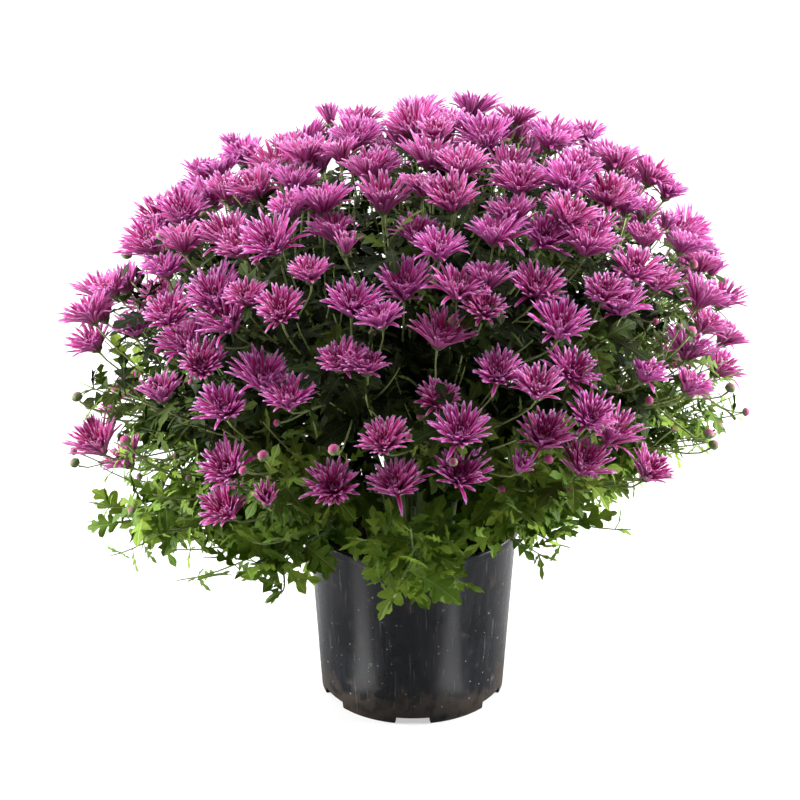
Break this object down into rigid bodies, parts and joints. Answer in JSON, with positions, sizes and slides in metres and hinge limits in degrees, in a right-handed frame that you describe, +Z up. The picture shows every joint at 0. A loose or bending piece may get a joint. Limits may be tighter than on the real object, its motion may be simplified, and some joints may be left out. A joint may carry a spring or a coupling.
{
  "type": "pot chrysanthemum",
  "caption": "Pot chrysanthemum in full bloom: a broad dome of semi-double pink flowers over lobed green leaves, standing in a tapered black nursery pot.",
  "frame": {"origin": "centre of the whole plant's bounding box, on the surface that the pot stands on", "axes": "+Z up, the shortest side of the box; +X to the right as seen from the front, the longest side; the front faces -Y"},
  "size_m": [0.6236, 0.6116, 0.5775],
  "materials": {
    "pot": "injection-moulded black polypropylene, glossy with fine scuffs and dust",
    "soil": "damp peat potting mix, matt and crumbly",
    "petals": "magenta-pink petals, satin, paler underneath and at the tips",
    "leaves": "mid-green leaves, matt, paler and hairy underneath"
  },
  "bodies": {
    "root": {"pot": "pot", "soil": "soil", "spray_00": "petals", "spray_01": "petals", "spray_02": "petals", "spray_03": "petals", "spray_04": "petals", "spray_05": "petals", "spray_06": "petals", "spray_07": "petals", "spray_08": "petals", "spray_09": "petals", "spray_10": "petals", "spray_11": "petals", "spray_12": "petals", "spray_13": "petals", "spray_14": "petals", "spray_15": "petals", "spray_16": "petals", "spray_17": "petals", "spray_18": "petals", "spray_19": "petals", "spray_20": "petals", "spray_21": "petals", "spray_22": "petals", "spray_23": "petals", "spray_24": "petals", "spray_25": "petals", "spray_26": "petals", "spray_27": "petals", "spray_28": "petals", "spray_29": "petals", "spray_30": "petals", "spray_31": "petals", "spray_32": "petals", "spray_33": "petals", "spray_34": "petals", "spray_35": "petals", "spray_36": "petals", "spray_37": "petals", "spray_38": "petals", "spray_39": "petals", "shoot_00": "leaves", "shoot_01": "leaves", "shoot_02": "leaves", "shoot_03": "leaves", "shoot_04": "leaves", "shoot_05": "leaves", "shoot_06": "leaves", "shoot_07": "leaves", "shoot_08": "leaves", "shoot_09": "leaves"}
  },
  "joints": []
}
